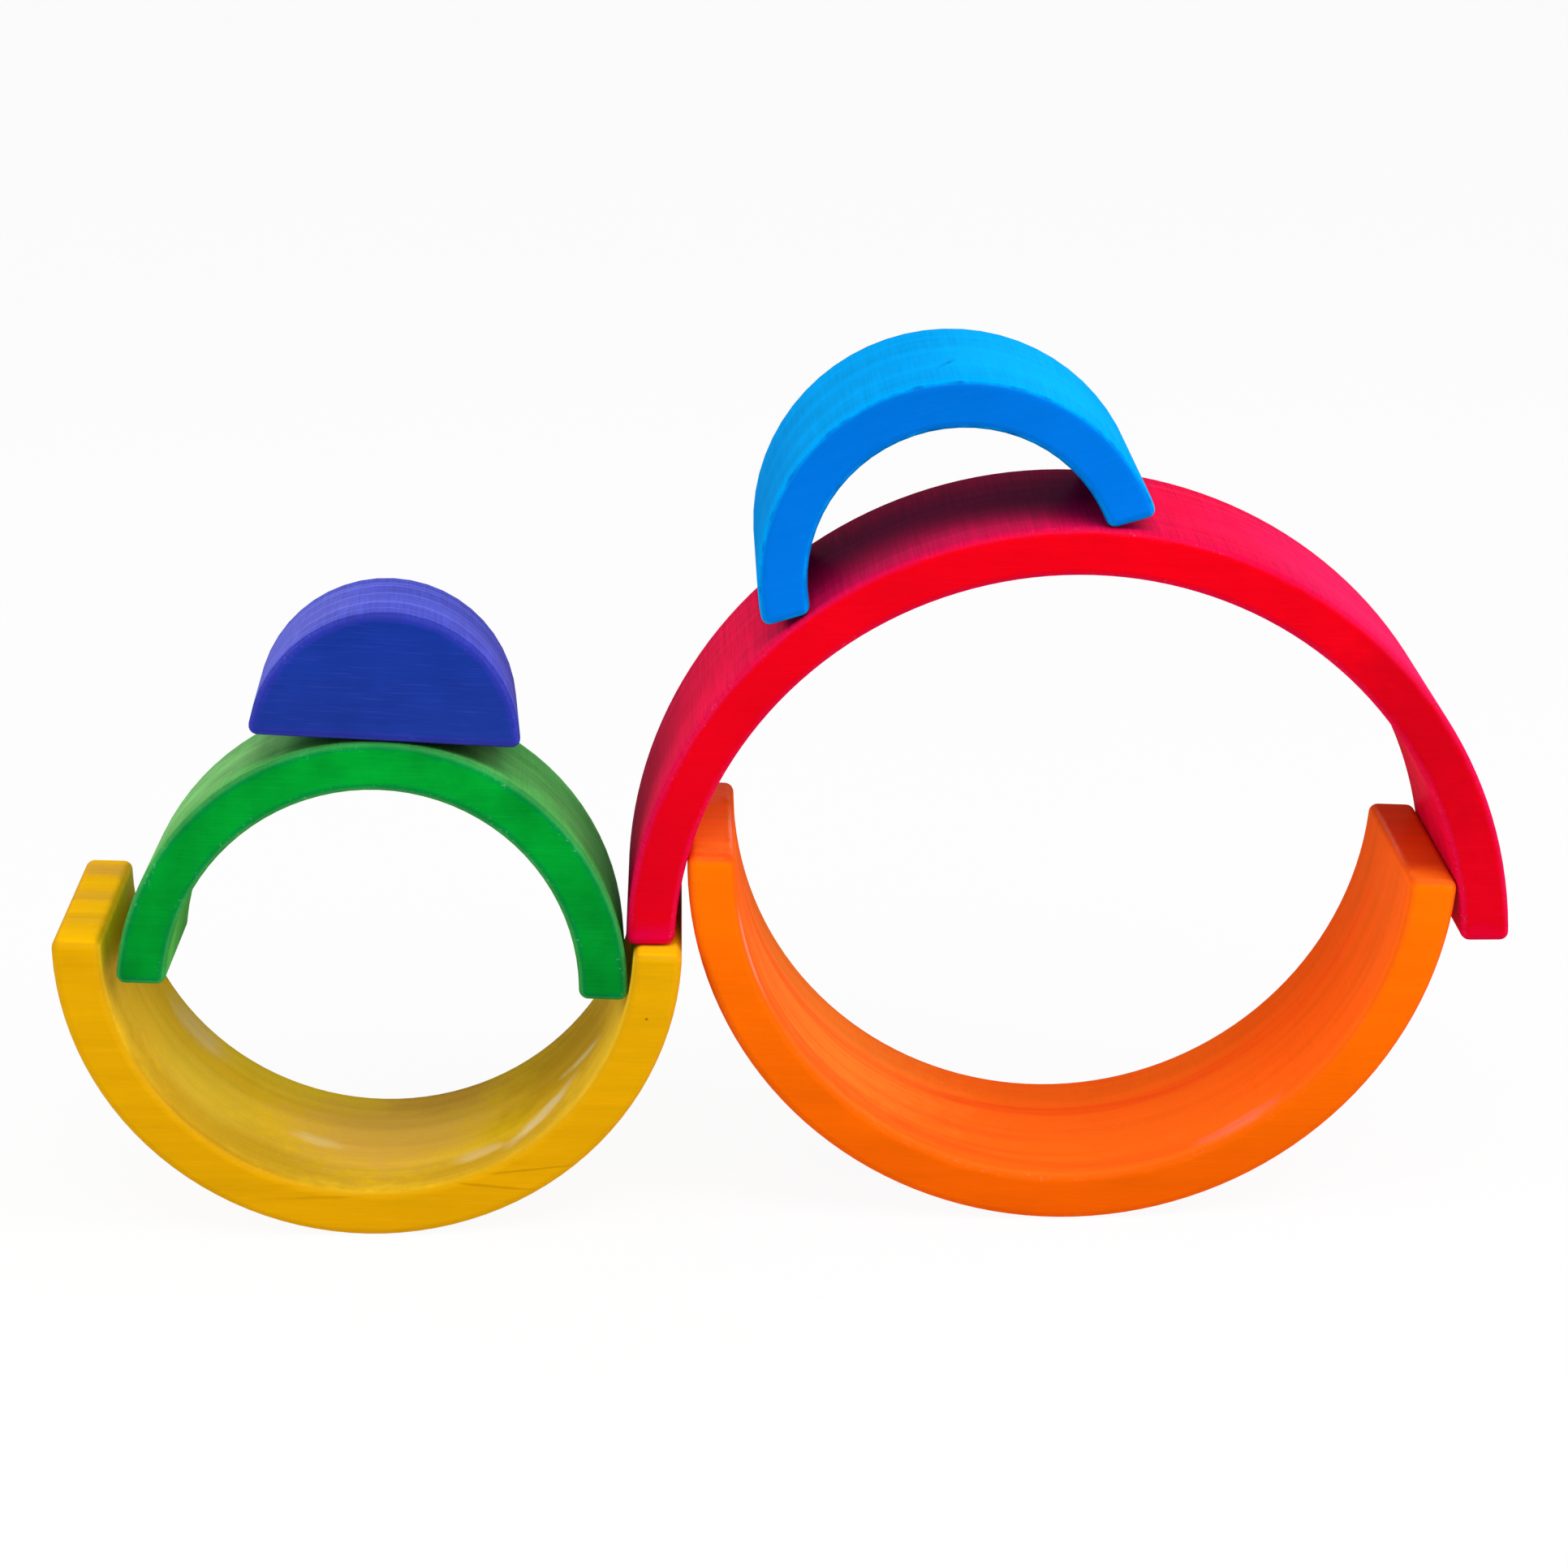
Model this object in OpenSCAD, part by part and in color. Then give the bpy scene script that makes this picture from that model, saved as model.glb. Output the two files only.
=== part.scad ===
// Rainbow stacker: five half rings and one half disc of stained solid wood, stacked as two towers.
// The yellow and the orange half ring lie open side up as cradles. The green arch stands in the yellow
// cradle and carries the indigo half disc. The red arch sits on the arms of the orange cradle, leans its
// left foot on the yellow cradle and carries the blue arch. Nothing is glued: every block only rests.
// The origin is on the floor under the middle of the stack, +X to the right, +Y to the back, +Z up.

/* [Blocks] */
// Outer radius of the red arch, the largest block
red_r = 135; // [115:1:160]
// Thickness of the wall of every half ring
wall = 14.8; // [12:0.2:17]
// Depth of every block, front to back
depth = 76; // [60:1:100]
// Radius of the sanded edges
edge_r = 2.8; // [1.2:0.2:3.2]

/* [Nesting gaps] */
// Play between the red arch and the orange one when they are nested
red_orange_gap = 3; // [2:0.2:6]
// Play between the orange half ring and the yellow one
orange_yellow_gap = 7.4; // [4:0.2:10]
// Play between the yellow half ring and the green one
yellow_green_gap = 3; // [2:0.2:6]
// Play between the green half ring and the blue one
green_blue_gap = 1.9; // [1:0.1:5]
// Play between the blue half ring and the indigo half disc
blue_indigo_gap = 4.9; // [2:0.1:8]

/* [Feet] */
// How far the feet of the red arch stop short of a half circle
red_trim = 4.4; // [0:0.2:8]
// How far the arms of the orange cradle stop short of a half circle
orange_trim = 1.4; // [0:0.2:6]
// How far the arms of the yellow cradle stop short of a half circle
yellow_trim = 0; // [0:0.2:6]
// How far the feet of the green arch stop short of a half circle
green_trim = 0.2; // [0:0.2:6]
// How far the feet of the blue arch stop short of a half circle
blue_trim = 2.6; // [0:0.2:8]
// How far the flat of the indigo half disc stops short of a half circle
indigo_trim = 1.8; // [0:0.2:6]

/* [Stacking] */
// Clockwise roll of the yellow cradle on its round back, in degrees
yellow_roll = 2; // [0:0.2:4]
// Clockwise roll of the orange cradle on its round back, in degrees
orange_roll = 2.4; // [0:0.2:4]
// Share of its sideways play that the green arch is twisted by in the yellow cradle
green_twist_share = 0.44; // [0:0.02:0.8]
// Share of the way to its third corner that the green arch has tipped back
green_tip_share = 0.96; // [0:0.02:0.96]
// Angle to the right of the green crown where the indigo half disc balances, in degrees
indigo_angle = 1; // [-5:0.2:5]
// Twist of the indigo half disc on the green crown, in degrees
indigo_twist = 1.5; // [-6:0.5:6]
// Angle to the left of the red crown where the blue arch stands, in degrees
blue_angle = 16.2; // [0:0.2:25]
// How far the left tower stands in front of the right one
stagger = 7; // [0:1:15]
// Clearance left where one block rests on another
seat_gap = 0.25; // [0.1:0.05:0.4]
// Least gap between blocks that stand side by side
side_gap = 0.8; // [0.5:0.1:3]

/* [Hidden] */
$fn = 144;

// Outer and inner radii, each block nesting in the one before it
orange_r = red_r - wall - red_orange_gap;
yellow_r = orange_r - wall - orange_yellow_gap;
green_r = yellow_r - wall - yellow_green_gap;
blue_r = green_r - wall - green_blue_gap;
indigo_r = blue_r - wall - blue_indigo_gap;
red_in = red_r - wall;
yellow_in = yellow_r - wall;
blue_in = blue_r - wall;

// Half the spread of the rounded foot edges: the centre lines of the outer and of the inner rounding
function outer_edge_x(r, trim) = sqrt((r - edge_r)^2 - (trim + edge_r)^2);
function inner_edge_x(r, trim) = sqrt((r + edge_r)^2 - (trim + edge_r)^2);

// A point turned about one axis, in degrees
function turn_x(p, a) = [p.x, p.y * cos(a) - p.z * sin(a), p.y * sin(a) + p.z * cos(a)];
function turn_y(p, a) = [p.x * cos(a) + p.z * sin(a), p.y, p.z * cos(a) - p.x * sin(a)];
function turn_z(p, a) = [p.x * cos(a) - p.y * sin(a), p.x * sin(a) + p.y * cos(a), p.z];

// The green arch, twisted a little in the cradle, wedges on its front right and its back left foot corner.
// It then tips back to the right until its back right corner touches the wall too.
green_edge_x = outer_edge_x(green_r, green_trim);
green_edge_y = depth / 2 - edge_r;
green_reach = yellow_in - edge_r - seat_gap;
green_twist = green_twist_share * asin((green_reach - green_edge_x) / green_edge_y);
green_wide_x = green_edge_x * cos(green_twist) + green_edge_y * sin(green_twist);
green_slim_x = green_edge_x * cos(green_twist) - green_edge_y * sin(green_twist);
green_fall = sqrt(green_reach^2 - green_slim_x^2) - sqrt(green_reach^2 - green_wide_x^2);
green_drop = green_tip_share * green_fall;
green_lean = asin(green_drop / (2 * green_edge_y));
green_roll = asin(green_drop / (2 * green_edge_x));
function green_turn(p) = turn_z(turn_x(turn_y(p, green_roll), -green_lean), green_twist);

// Middle of the green feet, seen from the axis of the yellow cradle: both wedged corners reach the wall
front_right = green_turn([green_edge_x, -green_edge_y, edge_r]);
back_left = green_turn([-green_edge_x, green_edge_y, edge_r]);
wedge_x = front_right.x - back_left.x;
wedge_z = front_right.z - back_left.z;
wedge = norm([wedge_x, wedge_z]);
wedge_depth = sqrt(green_reach^2 - (wedge / 2)^2);
green_x = wedge_depth * wedge_z / wedge - (front_right.x + back_left.x) / 2;
green_z = -wedge_depth * wedge_x / wedge - (front_right.z + back_left.z) / 2;
function green_point(p) = [green_x, 0, green_z] + green_turn(p - [0, 0, green_trim]);

// The indigo half disc balances with its centre of mass over the line where it touches the green crown
indigo_mass_z = 4 * indigo_r / (3 * PI) - indigo_trim;
indigo_shift = -indigo_mass_z * tan(green_roll + indigo_angle);
indigo_seat_z = green_r + seat_gap;

// The red arch hangs with its inner wall on the two outer edges of the orange arms
orange_edge_x = outer_edge_x(orange_r, orange_trim);
red_drop = orange_trim + edge_r + sqrt((red_in - edge_r - seat_gap)^2 - orange_edge_x^2);

// The right tower clears the yellow cradle below it, and the front of the green arch beside the red foot
red_from_orange = -red_drop * sin(orange_roll);
red_z = orange_r - red_drop * cos(orange_roll);
green_front = green_point([0, -depth / 2, 0]) + [0, 0, yellow_r];
red_foot_z = red_z + red_trim + edge_r - green_front.z;
green_right = green_front.x + sqrt(green_r^2 - red_foot_z^2);
red_left = outer_edge_x(red_r, red_trim) + edge_r;
orange_x = max(yellow_r + orange_r, green_right + red_left - red_from_orange) + side_gap;
red_x = orange_x + red_from_orange;

// The red arch turns in its seat until its left foot meets the end of the right yellow arm: either the flat
// of the foot meets the inner edge of the arm, or the inner edge of the foot meets the flat of the arm
arm_edge = turn_y([yellow_in + edge_r, 0, -yellow_trim - edge_r], yellow_roll) + [0, 0, yellow_r];
arm_dx = red_x - arm_edge.x;
arm_dz = arm_edge.z - red_z;
flat_roll = atan2(arm_dz, arm_dx) - asin((red_trim - edge_r - seat_gap) / norm([arm_dx, arm_dz]));
foot_edge = [inner_edge_x(red_in, red_trim), red_trim + edge_r];
red_over_arm = red_x * sin(yellow_roll) + (red_z - yellow_r) * cos(yellow_roll) + yellow_trim;
foot_drop = asin((edge_r + seat_gap - red_over_arm) / norm(foot_edge));
edge_roll = yellow_roll - atan2(foot_edge.y, foot_edge.x) + foot_drop;
red_roll = max(flat_roll, edge_roll);

// The blue arch stands with its inner foot edges on the round of the red one
blue_edge_x = inner_edge_x(blue_in, blue_trim);
blue_seat_z = sqrt((red_r + edge_r + seat_gap)^2 - blue_edge_x^2) - edge_r;

// The yellow axis in plan, placed so that the origin lies under the middle of the whole stack
left_end = -yellow_r;
right_end = red_x + sqrt(red_r^2 - (red_trim + edge_r)^2);
green_front_y = green_point([-green_edge_x, -depth / 2, green_trim + edge_r]).y;
indigo_back_y = green_point([0, depth / 2, indigo_seat_z + indigo_r - indigo_trim - edge_r]).y;
front_end = min(-depth / 2, green_front_y);
back_end = max(stagger + depth / 2, indigo_back_y);
yellow_at = [-(left_end + right_end) / 2, -(front_end + back_end) / 2, yellow_r];
right_at = yellow_at + [0, stagger, -yellow_r];

// Section of a half ring's wall with its four sanded edges: x is the radius, y runs front to back
module wall_section(r_in, r_out) {
    edge_y = depth / 2 - edge_r;
    translate([r_in, -edge_y]) square([r_out - r_in, 2 * edge_y]);
    translate([r_in + edge_r, -depth / 2]) square([r_out - r_in - 2 * edge_r, depth]);
    for (r = [r_in + edge_r, r_out - edge_r], y = [-edge_y, edge_y])
        translate([r, y]) circle(edge_r);
}

// Section of the half disc, which has edges only on its rim
module disc_section(r_out) {
    edge_y = depth / 2 - edge_r;
    translate([0, -edge_y]) square([r_out, 2 * edge_y]);
    translate([0, -depth / 2]) square([r_out - edge_r, depth]);
    for (y = [-edge_y, edge_y])
        translate([r_out - edge_r, y]) circle(edge_r);
}

// What the sanding takes off a foot corner whose rounding is centred at x, z; the foot's side lies
// towards the radius side_r along the line from the centre of the ring
module corner_waste(x, z, side_r) {
    out = side_r / norm([x, z]);
    difference() {
        polygon([[x, z], [x, z - 2 * edge_r], [x * out, z - 2 * edge_r], [x * out, z * out]]);
        translate([x, z]) circle(edge_r);
    }
}

// Front view of everything above the sawn feet, less the waste at the long foot edges
module above_feet(r_in, r_out, trim) {
    z = trim + edge_r;
    difference() {
        translate([-r_out - edge_r, trim]) square([2 * (r_out + edge_r), r_out + edge_r]);
        for (side = [0, 1]) mirror([side, 0]) {
            corner_waste(outer_edge_x(r_out, trim), z, r_out + edge_r);
            if (r_in > 0) corner_waste(inner_edge_x(r_in, trim), z, r_in - edge_r);
        }
    }
}

// Side view of everything above the sawn feet, with the front and back foot edges rounded
module side_view(r_out, trim) {
    edge_y = depth / 2 - edge_r;
    z = trim + edge_r;
    translate([-edge_y, trim]) square([2 * edge_y, r_out]);
    translate([-depth / 2, z]) square([depth, r_out]);
    for (y = [-edge_y, edge_y])
        translate([y, z]) circle(edge_r);
}

// A block standing on its feet, the centre of its rings at the origin and their axis along Y
module block(r_in, r_out, trim) {
    intersection() {
        rotate([90, 0, 0]) rotate_extrude()
            if (r_in > 0) wall_section(r_in, r_out); else disc_section(r_out);
        rotate([90, 0, 0]) linear_extrude(2 * depth, center = true) above_feet(r_in, r_out, trim);
        rotate([90, 0, 90]) linear_extrude(3 * r_out, center = true) side_view(r_out, trim);
    }
}

module half_ring(r_out, trim) block(r_out - wall, r_out, trim);

// From the frame of the green arch, which has its origin at the centre of its ring, to the stack
module in_green() {
    translate(yellow_at + [green_x, 0, green_z])
        rotate([0, 0, green_twist]) rotate([-green_lean, 0, 0]) rotate([0, green_roll, 0])
            translate([0, 0, -green_trim]) children();
}

// From the frame of the red arch, which has its origin at the centre of its ring, to the stack
module in_red() {
    translate(right_at + [red_x, 0, red_z]) rotate([0, red_roll, 0]) children();
}

// Yellow half ring lying on its back as the cradle of the left tower
module yellow_cradle() {
    color("goldenrod")
        translate(yellow_at) rotate([0, yellow_roll + 180, 0]) half_ring(yellow_r, yellow_trim);
}

// Green arch wedged in the yellow cradle
module green_arch() {
    color("forestgreen") in_green() half_ring(green_r, green_trim);
}

// Indigo half disc, the solid heart of the rainbow, lying flat on the green crown
module indigo_half_disc() {
    color("mediumblue")
        in_green() rotate([0, indigo_angle, 0]) translate([indigo_shift, 0, indigo_seat_z])
            rotate([0, 0, indigo_twist]) translate([0, 0, -indigo_trim]) block(0, indigo_r, indigo_trim);
}

// Orange half ring lying on its back as the cradle of the right tower
module orange_cradle() {
    color("darkorange")
        translate(right_at + [orange_x, 0, orange_r]) rotate([0, orange_roll + 180, 0])
            half_ring(orange_r, orange_trim);
}

// Red arch bridging from the orange arms to the yellow cradle
module red_arch() {
    color("crimson") in_red() half_ring(red_r, red_trim);
}

// Blue arch standing askew on the red crown
module blue_arch() {
    color("dodgerblue")
        in_red() rotate([0, -blue_angle, 0]) translate([0, 0, blue_seat_z - blue_trim])
            half_ring(blue_r, blue_trim);
}

yellow_cradle();
green_arch();
indigo_half_disc();
orange_cradle();
red_arch();
blue_arch();
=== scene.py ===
import math

import bpy
from mathutils import Matrix, Vector


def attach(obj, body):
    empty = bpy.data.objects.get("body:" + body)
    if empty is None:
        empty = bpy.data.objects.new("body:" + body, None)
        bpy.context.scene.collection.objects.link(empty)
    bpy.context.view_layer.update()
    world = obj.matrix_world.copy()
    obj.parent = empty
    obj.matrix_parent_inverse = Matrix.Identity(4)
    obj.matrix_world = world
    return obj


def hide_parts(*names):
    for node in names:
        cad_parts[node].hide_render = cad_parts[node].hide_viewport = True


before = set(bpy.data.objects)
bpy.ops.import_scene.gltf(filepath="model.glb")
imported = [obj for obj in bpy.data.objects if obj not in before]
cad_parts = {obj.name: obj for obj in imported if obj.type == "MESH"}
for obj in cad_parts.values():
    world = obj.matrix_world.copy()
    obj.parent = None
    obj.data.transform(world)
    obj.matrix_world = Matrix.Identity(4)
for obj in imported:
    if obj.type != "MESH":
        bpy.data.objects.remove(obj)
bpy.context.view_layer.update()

# Yellow cradle
# The third half ring of the rainbow, lying on its round back with its arms up. It is band-sawn from one
# plank of lime wood, its edges are sanded round, and it is stained and sealed. It carries the left tower.
MM = 0.001
WALL = 14.8 * MM
DEPTH = 76 * MM
EDGE = 2.8 * MM
EDGE_SEGMENTS = 5
SAWN_EDGE_ANGLE = math.radians(40)  # a sawn edge turns by more than this, and a facet by less
RING_STEP = 4.5 * MM  # length of a facet on the inner round
FOOT_STEP = 3.6 * MM  # height of the first row above a foot, which has to be more than EDGE
WELD = 0.001 * MM

YELLOW_R = 95 * MM
YELLOW_TRIM = 0 * MM
YELLOW_AT = Vector((-126.233, -6.263, 95)) * MM
YELLOW_TURN = Matrix.Rotation(math.radians(182), 4, "Y")


def sand_edges(block):
    """Rounds every sawn edge of a block, as the sanding belt does, and shades it smooth between them."""
    bpy.ops.object.shade_smooth()
    sanding = block.modifiers.new("sanding", "BEVEL")
    sanding.width = EDGE
    sanding.segments = EDGE_SEGMENTS
    sanding.limit_method = "ANGLE"
    sanding.angle_limit = SAWN_EDGE_ANGLE
    sanding.use_clamp_overlap = False
    sanding.harden_normals = True
    bpy.ops.object.modifier_apply(modifier=sanding.name)


def set_down(block, at, turn):
    """Puts a finished block where it rests and leaves its place in its mesh."""
    block.matrix_world = Matrix.Translation(at) @ turn
    bpy.ops.object.transform_apply(location=True, rotation=True, scale=True)


def saw_half_ring(name, outer_r, trim):
    """A half ring on its feet: the wall's section is swept round the axis and sawn off level at the feet."""
    inner_r = outer_r - WALL
    first = math.asin((trim + FOOT_STEP) / inner_r) - RING_STEP / inner_r
    span = math.pi - 2 * first
    middle_r = outer_r - WALL / 2
    bpy.ops.object.select_all(action="DESELECT")
    bpy.ops.mesh.primitive_plane_add(
        size=1,
        location=(middle_r * math.cos(first), 0, middle_r * math.sin(first)),
        rotation=(0, -first, 0),
    )
    block = bpy.context.object
    block.name = block.data.name = name
    block.scale = (WALL, DEPTH, 1)
    bpy.ops.object.transform_apply(location=True, rotation=True, scale=True)
    bpy.ops.object.mode_set(mode="EDIT")
    bpy.ops.mesh.select_all(action="SELECT")
    bpy.ops.mesh.spin(
        steps=round(span * inner_r / RING_STEP), angle=span, center=(0, 0, 0), axis=(0, 1, 0)
    )
    bpy.ops.mesh.select_all(action="SELECT")
    bpy.ops.mesh.bisect(
        plane_co=(0, 0, trim), plane_no=(0, 0, 1), use_fill=True, clear_inner=True
    )
    bpy.ops.mesh.select_all(action="SELECT")
    bpy.ops.mesh.remove_doubles(threshold=WELD)
    bpy.ops.mesh.normals_make_consistent(inside=False)
    bpy.ops.object.mode_set(mode="OBJECT")
    sand_edges(block)
    return block


def paint(code):
    """An sRGB hex colour as linear RGBA."""
    channels = [int(code[i : i + 2], 16) / 255 for i in (1, 3, 5)]
    return [c / 12.92 if c <= 0.04045 else ((c + 0.055) / 1.055) ** 2.4 for c in channels] + [1]


def add_node(tree, kind, settings, inputs):
    """Adds one node; an input is a plain value or another node's output. Returns the node's outputs.
    A Mix of colours has its factor at input 0, its colours at 6 and 7 and its result at output 2."""
    node = tree.nodes.new("ShaderNode" + kind)
    for key, value in settings.items():
        setattr(node, key, value)
    for key, value in inputs.items():
        if isinstance(value, bpy.types.NodeSocket):
            tree.links.new(value, node.inputs[key])
        else:
            node.inputs[key].default_value = value
    return node.outputs


# Sizes of the patterns in the wood, in millimetres along X, Y and Z of a block that stands on its feet.
# Lime's fibres are far finer than a picture shows, so they are drawn coarser. The saw marks are about as far
# apart as they look on the red block.
FIBRE_MM = (14, 1.2, 0.45)
BAND_MM = (160, 40, 7)
LAYER_LENGTH_MM = 200
LAYER_HEIGHT_MM = 120
WANDER_MM = 6
SPECK_MM = 1
SAW_MM = (0.8, 45, 1)  # along the round and from front to back; the third is not used
GRAIN_NOISE_ROUGHNESS = 0.55
SAW_NOISE_ROUGHNESS = 0.6

# A noise about zero reaches some 0.2 either way. The gain brings that to a half, and each of the pairs below
# is the range of noise over which its pattern sets in.
NOISE_REACH = 0.2
TONE_GAIN = 2.5
PALE_FIBRE = (0.08, 0.25)
STREAK = (0.02, 0.22)
RUBBED = (0.12, 0.2)
WORN_CLOUD = (-0.03, 0.08)

# In millimetres: where one side passes into the next, how softly the sanded edge ends and how far it strays.
# As shares of a mark's half size: where the mark fades out and how far its outline strays.
SIDE_FADE = (0.2, 1.0)
EDGE_FADE = 0.5
EDGE_STRAY = 2
MARK_FADE = (0.3, 1.2)
MARK_STRAY = 0.9

# The sealer is thin: it leaves the stain's full colour to the eye and adds only a weak, wide gloss
SEALER_IOR = 1.5
SEALER_ROUGHNESS = 0.25
WOOD_ROUGHNESS = (0.38, 0.5)
RELIEF_STRENGTH = 0.2
RELIEF = 0.2 * MM


def stained_wood(name, at, turn, outer_r, inner_r, trim, stain, look, marks):
    """Sealed water stain on lime wood, in the block's own frame in millimetres. Fine fibres run along X,
    growth layers lie across Y, saw marks cross the round surfaces, and the sanded edges take another tone.

    stain: the colours of each side, some with a painted sheen in them, of the edges, of streaks and pale
    fibres, and of what is rubbed.
    look: how strongly each pattern shows, with the sizes of the clouds, layers and edges.
    marks: soft spots of stain and of painted light, shade and sheen, each with its side, place, half size,
    tilt, colour and amount."""
    material = bpy.data.materials.new(name)
    material.use_nodes = True
    tree = material.node_tree
    tree.nodes.clear()
    place = add_node(tree, "TexCoord", {}, {})["Object"]
    spot = add_node(tree, "Mapping", {"vector_type": "TEXTURE"}, {
        "Vector": place, "Location": at, "Rotation": turn.to_euler(), "Scale": (MM, MM, MM)})[0]
    x, y, z = add_node(tree, "SeparateXYZ", {}, {0: spot})

    # How deep the spot lies below the front or back, the round surfaces and the foot
    level = add_node(tree, "VectorMath", {"operation": "MULTIPLY"}, {0: spot, 1: (1, 0, 1)})[0]
    radius = add_node(tree, "VectorMath", {"operation": "LENGTH"}, {0: level})["Value"]
    across = add_node(tree, "Math", {"operation": "ABSOLUTE"}, {0: y})[0]
    to_face = add_node(tree, "Math", {"operation": "SUBTRACT"}, {0: DEPTH / 2 / MM, 1: across})[0]
    to_outer = add_node(tree, "Math", {"operation": "SUBTRACT"}, {0: outer_r / MM, 1: radius})[0]
    to_inner = add_node(tree, "Math", {"operation": "SUBTRACT"}, {0: radius, 1: inner_r / MM})[0]
    to_foot = add_node(tree, "Math", {"operation": "SUBTRACT"}, {0: z, 1: trim / MM})[0]
    on_face, on_outer, on_inner, on_foot = (
        add_node(tree, "MapRange", {"interpolation_type": "SMOOTHSTEP"}, {
            "Value": depth, "From Min": SIDE_FADE[0], "From Max": SIDE_FADE[1], "To Min": 1, "To Max": 0})[0]
        for depth in (to_face, to_outer, to_inner, to_foot)
    )
    off_face = add_node(tree, "Math", {"operation": "SUBTRACT"}, {0: 1, 1: on_face})[0]

    # The second nearest of these sides is how far the spot lies from the block's nearest edge
    to_round = add_node(tree, "Math", {"operation": "MINIMUM"}, {0: to_outer, 1: to_inner})[0]
    low = add_node(tree, "Math", {"operation": "MINIMUM"}, {0: to_face, 1: to_round})[0]
    high = add_node(tree, "Math", {"operation": "MAXIMUM"}, {0: to_face, 1: to_round})[0]
    second = add_node(tree, "Math", {"operation": "MINIMUM"}, {0: high, 1: to_foot})[0]
    to_edge = add_node(tree, "Math", {"operation": "MAXIMUM"}, {0: low, 1: second})[0]

    # Fibres, bands on the faces, growth layers on the round surfaces, clouds of stain, a wander and specks,
    # each as noise about zero with its size and detail
    fibre, band, layer, cloud, wander, speck = (
        add_node(tree, "Math", {"operation": "SUBTRACT"}, {1: 0.5, 0: add_node(tree, "TexNoise", {}, {
            "Vector": add_node(tree, "VectorMath", {"operation": "DIVIDE"}, {0: spot, 1: size})[0],
            "Scale": 1, "Detail": detail, "Roughness": GRAIN_NOISE_ROUGHNESS})["Fac"]})[0]
        for size, detail in (
            (FIBRE_MM, 2), (BAND_MM, 3), ((LAYER_LENGTH_MM, look["layer_mm"], LAYER_HEIGHT_MM), 4),
            ((look["cloud_mm"],) * 3, 4), ((WANDER_MM,) * 3, 3), ((SPECK_MM,) * 3, 2))
    )

    # Saw marks run from front to back over the round surfaces, which are laid out flat for them
    bearing = add_node(tree, "Math", {"operation": "ARCTAN2"}, {0: x, 1: z})[0]
    along = add_node(tree, "Math", {"operation": "MULTIPLY"}, {0: bearing, 1: outer_r / MM})[0]
    round_spot = add_node(tree, "CombineXYZ", {}, {0: along, 1: y})[0]
    face_spot = add_node(tree, "CombineXYZ", {}, {0: x, 1: z})[0]
    end_spot = add_node(tree, "CombineXYZ", {}, {0: x, 1: y})[0]
    saw_spot = add_node(tree, "VectorMath", {"operation": "DIVIDE"}, {0: round_spot, 1: SAW_MM})[0]
    stroke = add_node(tree, "TexNoise", {}, {
        "Vector": saw_spot, "Scale": 1, "Detail": 2, "Roughness": SAW_NOISE_ROUGHNESS})["Fac"]
    saw = add_node(tree, "Math", {"operation": "SUBTRACT"}, {0: stroke, 1: 0.5})[0]

    # Tone of the stain: fibres and clouds everywhere, bands on the faces, layers and saw marks off them
    tone = 1
    for value, amount, mask in (
        (fibre, look["grain"], 1), (cloud, look["cloud"], 1), (band, look["bands"], on_face),
        (layer, look["layers"], off_face), (saw, look["saw"], off_face),
    ):
        share = add_node(tree, "Math", {"operation": "MULTIPLY"}, {0: mask, 1: TONE_GAIN * amount})[0]
        tone = add_node(tree, "Math", {"operation": "MULTIPLY_ADD"}, {0: value, 1: share, 2: tone})[0]

    # Each side of the block has its own colour, and the faces change from the feet to the crown
    rise = add_node(tree, "MapRange", {}, {"Value": z, "From Min": 0, "From Max": outer_r / MM})[0]
    face = add_node(tree, "Mix", {"data_type": "RGBA"}, {
        0: rise, 6: paint(stain["face"]), 7: paint(stain["crown"])})[2]
    colour = paint(stain["outer"])
    for mask, side in ((on_inner, paint(stain["inner"])), (on_foot, paint(stain["end"])), (on_face, face)):
        colour = add_node(tree, "Mix", {"data_type": "RGBA"}, {0: mask, 6: colour, 7: side})[2]

    # Marks in the stain, and spots of painted light, shade and sheen, as soft ovals with a strayed outline
    sides = {"face": (face_spot, on_face), "end": (end_spot, on_foot), "outer": (round_spot, on_outer),
             "inner": (round_spot, on_inner)}
    for side, centre, half, tilt, code, amount in marks:
        side_spot, mask = sides[side]
        mark_spot = add_node(tree, "Mapping", {"vector_type": "TEXTURE"}, {
            "Vector": side_spot, "Location": (*centre, 0), "Rotation": (0, 0, math.radians(tilt)),
            "Scale": (*half, 1)})[0]
        far = add_node(tree, "VectorMath", {"operation": "LENGTH"}, {0: mark_spot})["Value"]
        far = add_node(tree, "Math", {"operation": "MULTIPLY_ADD"}, {0: wander, 1: MARK_STRAY, 2: far})[0]
        share = add_node(tree, "MapRange", {"interpolation_type": "SMOOTHSTEP"}, {
            "Value": far, "From Min": MARK_FADE[0], "From Max": MARK_FADE[1],
            "To Min": amount, "To Max": 0})[0]
        share = add_node(tree, "Math", {"operation": "MULTIPLY"}, {0: share, 1: mask})[0]
        colour = add_node(tree, "Mix", {"data_type": "RGBA"}, {0: share, 6: colour, 7: paint(code)})[2]
    colour = add_node(tree, "VectorMath", {"operation": "SCALE"}, {0: colour, "Scale": tone})[0]

    # Fibres that took less stain on the faces, and streaks along the growth layers off them
    for value, limits, amount, mask, code in (
        (fibre, PALE_FIBRE, look["pale"], on_face, stain["fibre"]),
        (layer, STREAK, look["streaks"], off_face, stain["streak"]),
    ):
        share = add_node(tree, "MapRange", {}, {
            "Value": value, "From Min": limits[0], "From Max": limits[1],
            "To Min": 0, "To Max": amount})[0]
        share = add_node(tree, "Math", {"operation": "MULTIPLY"}, {0: share, 1: mask})[0]
        colour = add_node(tree, "Mix", {"data_type": "RGBA"}, {0: share, 6: colour, 7: paint(code)})[2]

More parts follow.
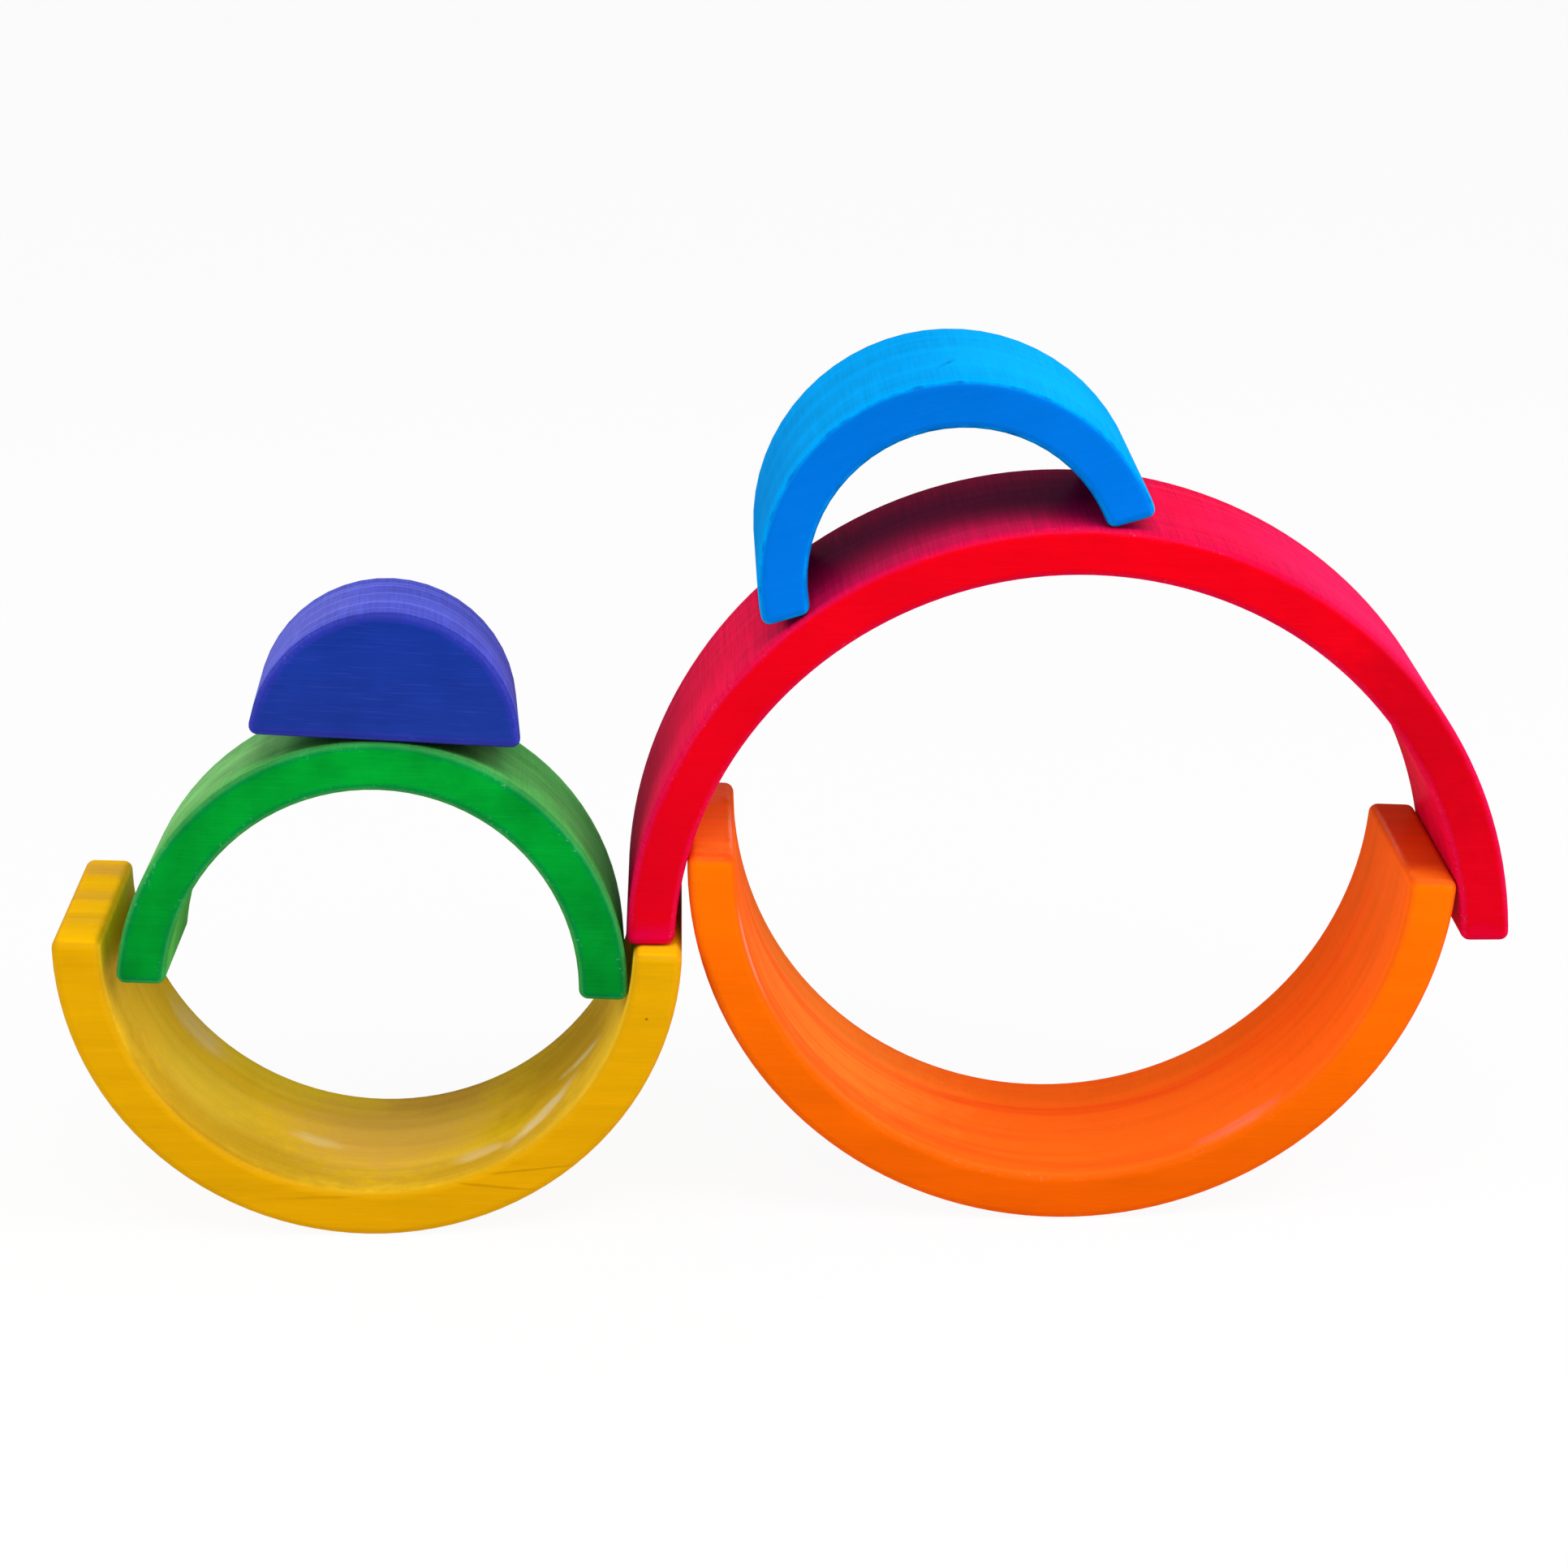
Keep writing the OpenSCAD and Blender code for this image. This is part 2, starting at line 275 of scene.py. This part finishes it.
    # The sanded edges stray a little, take the stain in another tone and are rubbed in places
    to_edge = add_node(tree, "Math", {"operation": "MULTIPLY_ADD"}, {0: wander, 1: EDGE_STRAY, 2: to_edge})[0]
    on_edge = add_node(tree, "MapRange", {"interpolation_type": "SMOOTHSTEP"}, {
        "Value": to_edge, "From Min": look["edge_mm"] - EDGE_FADE, "From Max": look["edge_mm"] + EDGE_FADE,
        "To Min": 1, "To Max": 0})[0]
    share = add_node(tree, "Math", {"operation": "MULTIPLY"}, {0: on_edge, 1: look["edging"]})[0]
    edge = add_node(tree, "VectorMath", {"operation": "SCALE"}, {
        0: paint(stain["edge"])[:3], "Scale": tone})[0]
    colour = add_node(tree, "Mix", {"data_type": "RGBA"}, {0: share, 6: colour, 7: edge})[2]
    rubbed = add_node(tree, "MapRange", {}, {
        "Value": speck, "From Min": RUBBED[0], "From Max": RUBBED[1],
        "To Min": 0, "To Max": look["scuffs"]})[0]
    worn = add_node(tree, "MapRange", {}, {
        "Value": cloud, "From Min": WORN_CLOUD[0], "From Max": WORN_CLOUD[1]})[0]
    rubbed = add_node(tree, "Math", {"operation": "MULTIPLY"}, {0: rubbed, 1: worn})[0]
    rubbed = add_node(tree, "Math", {"operation": "MULTIPLY"}, {0: rubbed, 1: on_edge})[0]
    colour = add_node(tree, "Mix", {"data_type": "RGBA"}, {
        0: rubbed, 6: colour, 7: paint(stain["rub"])})[2]

    # Satin wood whose fibres and saw marks can still be felt, under the thin sealer
    rough = add_node(tree, "MapRange", {}, {
        "Value": cloud, "From Min": -NOISE_REACH, "From Max": NOISE_REACH,
        "To Min": WOOD_ROUGHNESS[0], "To Max": WOOD_ROUGHNESS[1]})[0]
    relief = add_node(tree, "Math", {"operation": "MULTIPLY_ADD"}, {0: saw, 1: off_face, 2: fibre})[0]
    bump = add_node(tree, "Bump", {}, {
        "Strength": RELIEF_STRENGTH, "Distance": RELIEF, "Height": relief})[0]
    shader = add_node(tree, "BsdfPrincipled", {}, {
        "Base Color": colour, "Roughness": rough, "Normal": bump, "IOR": SEALER_IOR,
        "Specular IOR Level": 0, "Coat Weight": look["coat"], "Coat Roughness": SEALER_ROUGHNESS})[0]
    add_node(tree, "OutputMaterial", {}, {0: shader})
    return material


# Yellow stain gives a warm ochre. It is uneven inside the ring, with pale streaks along the layers, and the
# end grain of the arms shows it in broad bands. Inside the right arm a darker patch is painted shade beside
# the green arch's foot, and three short pale streaks are painted highlights. A knot and three dark grain
# lines stand out on the face. The cradles are turned over, so a mark whose place starts with a positive
# number lies towards the left arm.
yellow_cradle = saw_half_ring("yellow_cradle_wood", YELLOW_R, YELLOW_TRIM)
set_down(yellow_cradle, YELLOW_AT, YELLOW_TURN)
yellow_cradle.data.materials.append(stained_wood(
    "yellow_stained_lime", YELLOW_AT, YELLOW_TURN, YELLOW_R, YELLOW_R - WALL, YELLOW_TRIM,
    stain=dict(face="#DEA200", crown="#D89C00", outer="#D89E08", inner="#F0BC20", end="#FFBC00",
               edge="#DCA210", streak="#E2B850", fibre="#EFC040", rub="#B87C08"),
    look=dict(grain=0.06, bands=0.12, cloud=0.06, cloud_mm=30, layer_mm=5, layers=0.15, saw=0.02,
              streaks=0.16, pale=0.05, edging=0.5, edge_mm=1.6, scuffs=0.35, coat=0.04),
    marks=(
        ("inner", (45, 36), (70, 18), 0, "#FFD02C", 0.9),
        ("inner", (55, -26), (75, 20), 0, "#CA9A1C", 0.9),
        ("inner", (-45, -30), (50, 13), 0, "#CE9A1C", 0.7),
        ("inner", (70, -4), (34, 20), 0, "#DCB630", 0.6),
        ("inner", (-4, 6), (46, 34), 0, "#EEB44C", 0.85),
        ("inner", (-24, 30), (28, 13), 0, "#DCA03C", 0.8),
        ("inner", (79, 27), (18, 9), 0, "#F4CE84", 0.8),
        ("inner", (22, -4), (12, 4), 10, "#F4D090", 0.55),
        ("inner", (-54, -12), (15, 13), 0, "#E2B400", 0.7),
        # painted shade: a darker patch inside the right arm, beside the green arch's foot
        ("inner", (-82, 8), (36, 34), 0, "#CC9600", 0.75),
        # painted highlights: three short pale streaks inside the right arm, a gloss painted into the colour
        ("inner", (-41, -23), (12, 5), 10, "#F0C884", 0.7),
        ("inner", (-69, -21), (20, 5), -25, "#F0D2A0", 0.75),
        ("inner", (-90, -6), (13, 3), 12, "#F4D8A8", 0.7),
        ("inner", (66, -36.4), (46, 1.1), 0, "#C88A10", 0.7),
        ("end", (87, 27), (40, 7), 0, "#D29C40", 0.6),
        ("end", (87, 3), (40, 6), 0, "#D8A030", 0.5),
        ("end", (87, -18), (40, 6), 0, "#DCA014", 0.5),
        ("face", (88, 7), (9, 4), 0, "#CC9200", 0.4),
        ("face", (-84.7, 20.6), (0.6, 0.5), 0, "#6A4A10", 0.8),
        ("face", (-37, 77), (20, 0.5), -4, "#B47C00", 0.6),
        ("face", (-52, 71), (18, 0.4), 8, "#B47C00", 0.6),
        ("face", (12, 82), (26, 0.6), 3, "#BE8400", 0.5),
    )))
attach(yellow_cradle, "yellow_cradle")
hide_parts("yellow_cradle")

# Green arch
# The fourth half ring, feet down inside the yellow cradle. Twisted a little and tipped back, it rests on
# three corners of its feet. Sawn from lime wood like the others, stained green and sealed.
GREEN_R = 77.2 * MM
GREEN_TRIM = 0.2 * MM
GREEN_AT = Vector((-126.389, -6.288, 75.749)) * MM
GREEN_TURN = (
    Matrix.Rotation(math.radians(2.015), 4, "Z")
    @ Matrix.Rotation(math.radians(-7.110), 4, "X")
    @ Matrix.Rotation(math.radians(3.360), 4, "Y")
)
green_arch = saw_half_ring("green_arch_wood", GREEN_R, GREEN_TRIM)
set_down(green_arch, GREEN_AT, GREEN_TURN)

# Green stain lies in clouds. It is deep on the faces and edges, and thin and pale on the round surfaces,
# whose pale colour also holds a painted sheen. The left of the round is paler still, a painted sheen, and the
# right is darker by the foot, painted shade.
green_arch.data.materials.append(stained_wood(
    "green_stained_lime", GREEN_AT, GREEN_TURN, GREEN_R, GREEN_R - WALL, GREEN_TRIM,
    stain=dict(face="#008226", crown="#00942A", outer="#56B656", inner="#4CAC48", end="#008A36",
               edge="#007C3E", streak="#8CC884", fibre="#20B050", rub="#C8ECC8"),
    look=dict(grain=0.08, bands=0.06, cloud=0.4, cloud_mm=16, layer_mm=4, layers=0.12, saw=0.12,
              streaks=0.2, pale=0.1, edging=0.6, edge_mm=2.4, scuffs=0.15, coat=0.03),
    marks=(
        # painted sheen: the left of the round surface made paler
        ("outer", (-62, 5), (48, 44), 0, "#86C878", 0.8),
        # painted shade: the right of the round surface darker by the foot
        ("outer", (98, -8), (26, 40), 0, "#48A850", 0.5),
    )))
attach(green_arch, "green_arch")
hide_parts("green_arch")

# Indigo half disc
# The solid heart of the rainbow: a disc turned from the same lime wood, sawn in half and sanded. It lies
# with its flat on the green crown, a little twisted.
INDIGO_R = 40.8 * MM
INDIGO_TRIM = 1.8 * MM
INDIGO_AT = Vector((-122.149, 3.215, 150.689)) * MM
INDIGO_TURN = (
    GREEN_TURN @ Matrix.Rotation(math.radians(1), 4, "Y") @ Matrix.Rotation(math.radians(1.5), 4, "Z")
)
INDIGO_SIDES = 48
bpy.ops.object.select_all(action="DESELECT")
bpy.ops.mesh.primitive_cylinder_add(
    vertices=INDIGO_SIDES, radius=INDIGO_R, depth=DEPTH, rotation=(math.radians(90), 0, 0)
)
indigo_half_disc = bpy.context.object
indigo_half_disc.name = indigo_half_disc.data.name = "indigo_half_disc_wood"
bpy.ops.object.transform_apply(location=True, rotation=True, scale=True)
bpy.ops.object.mode_set(mode="EDIT")
bpy.ops.mesh.select_all(action="SELECT")
bpy.ops.mesh.bisect(
    plane_co=(0, 0, INDIGO_TRIM), plane_no=(0, 0, 1), use_fill=True, clear_inner=True
)
bpy.ops.mesh.select_all(action="SELECT")
bpy.ops.mesh.normals_make_consistent(inside=False)
bpy.ops.object.mode_set(mode="OBJECT")
sand_edges(indigo_half_disc)
set_down(indigo_half_disc, INDIGO_AT, INDIGO_TURN)

# Indigo stain is dark and even on the faces. On the round it is paler, with streaks along the layers.
indigo_half_disc.data.materials.append(stained_wood(
    "indigo_stained_lime", INDIGO_AT, INDIGO_TURN, INDIGO_R, 0, INDIGO_TRIM,
    stain=dict(face="#1C348E", crown="#143290", outer="#545BD2", inner="#545BD2", end="#1E2A80",
               edge="#28329C", streak="#8C92F0", fibre="#4046B0", rub="#7C80E0"),
    look=dict(grain=0.1, bands=0.1, cloud=0.2, cloud_mm=18, layer_mm=4, layers=0.3, saw=0.25,
              streaks=0.45, pale=0.22, edging=0.8, edge_mm=2.7, scuffs=0.15, coat=0.03),
    marks=(
        ("outer", (-38, 0), (34, 50), 0, "#7276DC", 0.6),
    )))
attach(indigo_half_disc, "indigo_half_disc")
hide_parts("indigo_half_disc")

# Orange cradle
# The second half ring, lying on its round back with its arms up as the base of the right tower. Sawn from
# lime wood, stained orange and sealed; the edges of its arms are rubbed pale.
ORANGE_R = 117.2 * MM
ORANGE_TRIM = 1.4 * MM
ORANGE_AT = Vector((87.672, 0.737, 117.2)) * MM
ORANGE_TURN = Matrix.Rotation(math.radians(182.4), 4, "Y")
orange_cradle = saw_half_ring("orange_cradle_wood", ORANGE_R, ORANGE_TRIM)
set_down(orange_cradle, ORANGE_AT, ORANGE_TURN)

# Orange stain is bright and even on the faces. Inside the ring it has wide redder streaks along the layers.
# Inside the left arm a painted sheen makes it paler, and painted light brightens the left arm's end.
orange_cradle.data.materials.append(stained_wood(
    "orange_stained_lime", ORANGE_AT, ORANGE_TURN, ORANGE_R, ORANGE_R - WALL, ORANGE_TRIM,
    stain=dict(face="#FF7000", crown="#E05A00", outer="#EA5C00", inner="#FF6E14", end="#DC521C",
               edge="#EE6414", streak="#EC3C0C", fibre="#FF8A20", rub="#FFC0A0"),
    look=dict(grain=0.05, bands=0.1, cloud=0.06, cloud_mm=30, layer_mm=9, layers=0.2, saw=0.04,
              streaks=0.6, pale=0.05, edging=0.4, edge_mm=1.6, scuffs=0.15, coat=0.03),
    marks=(
        # painted sheen: the inside of the left arm made paler
        ("inner", (95, 8), (70, 50), 0, "#FF8C2C", 0.7),
        ("inner", (-110, 8), (50, 50), 0, "#FF6206", 0.6),
        ("inner", (-70, -33), (18, 4), 0, "#FF8468", 0.55),
        ("inner", (147, -36.6), (19, 1.0), 0, "#FFB098", 0.8),
        # painted light: the left arm's end made brighter
        ("end", (110, 0), (14, 50), 0, "#FF8426", 0.9),
        ("end", (110, 28), (11, 14), 0, "#FF8E5C", 0.8),
        ("end", (103.2, -8), (1.3, 26), 0, "#FFB8A4", 0.85),
        ("end", (-103.2, 8), (1.3, 34), 0, "#F09A84", 0.8),
        ("end", (-109, -31), (12, 8), 0, "#F0741A", 0.8),
    )))
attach(orange_cradle, "orange_cradle")
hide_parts("orange_cradle")

# Red arch
# The largest half ring, feet down. It hangs on the edges of the orange arms and leans its left foot on the
# yellow cradle. Sawn from lime wood, stained red and sealed.
RED_R = 135 * MM
RED_TRIM = 4.4 * MM
RED_AT = Vector((86.425, 0.737, 87.445)) * MM
RED_TURN = Matrix.Rotation(math.radians(0.225), 4, "Y")
red_arch = saw_half_ring("red_arch_wood", RED_R, RED_TRIM)
set_down(red_arch, RED_AT, RED_TURN)

# Red stain is full and even on the faces. The round surfaces turn crimson, and saw marks and growth layers
# cross there, so that they look woven. On the round, painted light brightens the left and the part right of
# the blue arch's foot, and a painted sheen turns the right pink.
red_arch.data.materials.append(stained_wood(
    "red_stained_lime", RED_AT, RED_TURN, RED_R, RED_R - WALL, RED_TRIM,
    stain=dict(face="#D20018", crown="#E60014", outer="#DC104C", inner="#E40838", end="#D0003A",
               edge="#D8083C", streak="#F05C84", fibre="#F02040", rub="#FF9AB0"),
    look=dict(grain=0.05, bands=0.05, cloud=0.1, cloud_mm=24, layer_mm=4, layers=0.1, saw=0.3,
              streaks=0.1, pale=0.05, edging=0.5, edge_mm=1.8, scuffs=0.1, coat=0.03),
    marks=(
        # painted light: brighter right of the blue arch's right foot
        ("outer", (44, 0), (38, 60), 0, "#FF0640", 0.75),
        # painted sheen: the right of the round surface turned pink
        ("outer", (105, 0), (65, 60), 0, "#FF1A62", 0.65),
        # painted light: the left of the round surface made brighter
        ("outer", (-135, 0), (70, 60), 0, "#FF0E44", 0.85),
        ("face", (106, 72), (34, 50), 0, "#C20014", 0.7),
        ("face", (-127, 6), (12, 6), 0, "#D80044", 0.8),
        ("face", (127, 6), (12, 5), 0, "#D80030", 0.6),
    )))
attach(red_arch, "red_arch")
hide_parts("red_arch")

# Blue arch
# The fifth half ring, feet down on the red crown and a little to the left of its top. Sawn from lime wood,
# stained blue and sealed.
BLUE_R = 60.5 * MM
BLUE_TRIM = 2.6 * MM
BLUE_AT = Vector((52.309, 0.737, 206.620)) * MM
BLUE_TURN = Matrix.Rotation(math.radians(-15.975), 4, "Y")
blue_arch = saw_half_ring("blue_arch_wood", BLUE_R, BLUE_TRIM)
set_down(blue_arch, BLUE_AT, BLUE_TURN)

# Blue stain is even on the faces and a lighter sky blue on the round, with one dark scratch near the top.
# On the round, painted light brightens the right and painted shade darkens the left.
blue_arch.data.materials.append(stained_wood(
    "blue_stained_lime", BLUE_AT, BLUE_TURN, BLUE_R, BLUE_R - WALL, BLUE_TRIM,
    stain=dict(face="#0072DC", crown="#006ACC", outer="#00A2F4", inner="#006CC8", end="#006CCC",
               edge="#0058B4", streak="#00B4FF", fibre="#2088F0", rub="#60B8FF"),
    look=dict(grain=0.04, bands=0.04, cloud=0.06, cloud_mm=24, layer_mm=5, layers=0.16, saw=0.16,
              streaks=0.3, pale=0.05, edging=0.8, edge_mm=0.9, scuffs=0.1, coat=0.015),
    marks=(
        # painted light: the right of the round surface made brighter
        ("outer", (42, 0), (34, 60), 0, "#06B6FF", 0.6),
        # painted shade: the left of the round surface made darker
        ("outer", (-62, 0), (30, 60), 0, "#008CE0", 0.5),
        ("outer", (12.6, -15), (7, 0.9), 60, "#0074B8", 0.7),
    )))
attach(blue_arch, "blue_arch")
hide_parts("blue_arch")

# Floor
# A plain white sheet that runs far past the picture. The camera sees it as white paper with a little of
# the stack's shadow left on it.
FLOOR_SIZE = 14
PLAIN_WHITE_SHARE = 0.94  # the rest is the sheet as it is lit, with its shadow
bpy.ops.object.select_all(action="DESELECT")
bpy.ops.mesh.primitive_plane_add(size=FLOOR_SIZE)
floor = bpy.context.object
floor.name = "floor"


def seen_ray(tree):
    """1 for what the camera sees, also in a reflection or through glass, and 0 for light on the stack."""
    ray = add_node(tree, "LightPath", {}, {})
    seen = ray["Is Camera Ray"]
    for kind in ("Is Glossy Ray", "Is Transmission Ray"):
        seen = add_node(tree, "Math", {"operation": "MAXIMUM"}, {0: seen, 1: ray[kind]})[0]
    return seen


white_paper = bpy.data.materials.new("white_paper")
white_paper.use_nodes = True
paper = white_paper.node_tree
paper.nodes.clear()
white_share = add_node(paper, "Math", {"operation": "MULTIPLY"}, {
    0: seen_ray(paper), 1: PLAIN_WHITE_SHARE})[0]
lit = add_node(paper, "BsdfDiffuse", {}, {"Color": paint("#F4F4F4")})[0]
plain = add_node(paper, "Emission", {}, {"Color": paint("#FFFFFF"), "Strength": 1})[0]
sheet = add_node(paper, "MixShader", {}, {0: white_share, 1: lit, 2: plain})[0]
add_node(paper, "OutputMaterial", {}, {0: sheet})
floor.data.materials.append(white_paper)

# Studio light
# A wide softbox high in front of the stack and a square one on each side, the right one stronger, in a white
# room whose walls give back a little of their light.
STACK_MIDDLE = Vector((0, 0, 0.12))
ROOM_STRENGTH = 0.36
for name, place, width, height, power in (
    ("key_softbox", Vector((0.3, -0.75, 1.4)), 1.4, 0.8, 14),
    ("left_softbox", Vector((-1.5, -0.55, 0.8)), 0.9, 0.9, 10),
    ("right_softbox", Vector((1.5, -0.55, 0.8)), 0.9, 0.9, 12),
):
    bpy.ops.object.select_all(action="DESELECT")
    bpy.ops.object.light_add(type="AREA", location=place)
    lamp = bpy.context.object
    lamp.name = name
    lamp.data.shape = "RECTANGLE"
    lamp.data.size = width
    lamp.data.size_y = height
    lamp.data.energy = power
    lamp.rotation_euler = (STACK_MIDDLE - place).to_track_quat("-Z", "Y").to_euler()

white_room = bpy.data.worlds.new("white_room")
bpy.context.scene.world = white_room
white_room.use_nodes = True
room = white_room.node_tree
room.nodes.clear()
dim = add_node(room, "Background", {}, {"Color": paint("#FFFFFF"), "Strength": ROOM_STRENGTH})[0]
bright = add_node(room, "Background", {}, {"Color": paint("#FFFFFF"), "Strength": 1})[0]
wall = add_node(room, "MixShader", {}, {0: seen_ray(room), 1: dim, 2: bright})[0]
add_node(room, "OutputWorld", {}, {0: wall})

# Camera
# A short tele lens a good metre in front of the stack, looking 18 degrees down and hardly to the side.
LENS = 88.1
SENSOR = 36
DISTANCE = 1.1863
PITCH = math.radians(18.37)
YAW = math.radians(1.424)
AIM = Vector((0.5, -2.82, 132.62)) * MM
view = Vector((math.sin(YAW) * math.cos(PITCH), math.cos(YAW) * math.cos(PITCH), -math.sin(PITCH)))
bpy.ops.object.select_all(action="DESELECT")
bpy.ops.object.camera_add(
    location=AIM - DISTANCE * view, rotation=view.to_track_quat("-Z", "Y").to_euler()
)
camera = bpy.context.object
camera.name = "camera"
camera.data.lens = LENS
camera.data.sensor_width = SENSOR
bpy.context.scene.camera = camera
bpy.context.scene.view_settings.view_transform = "Standard"
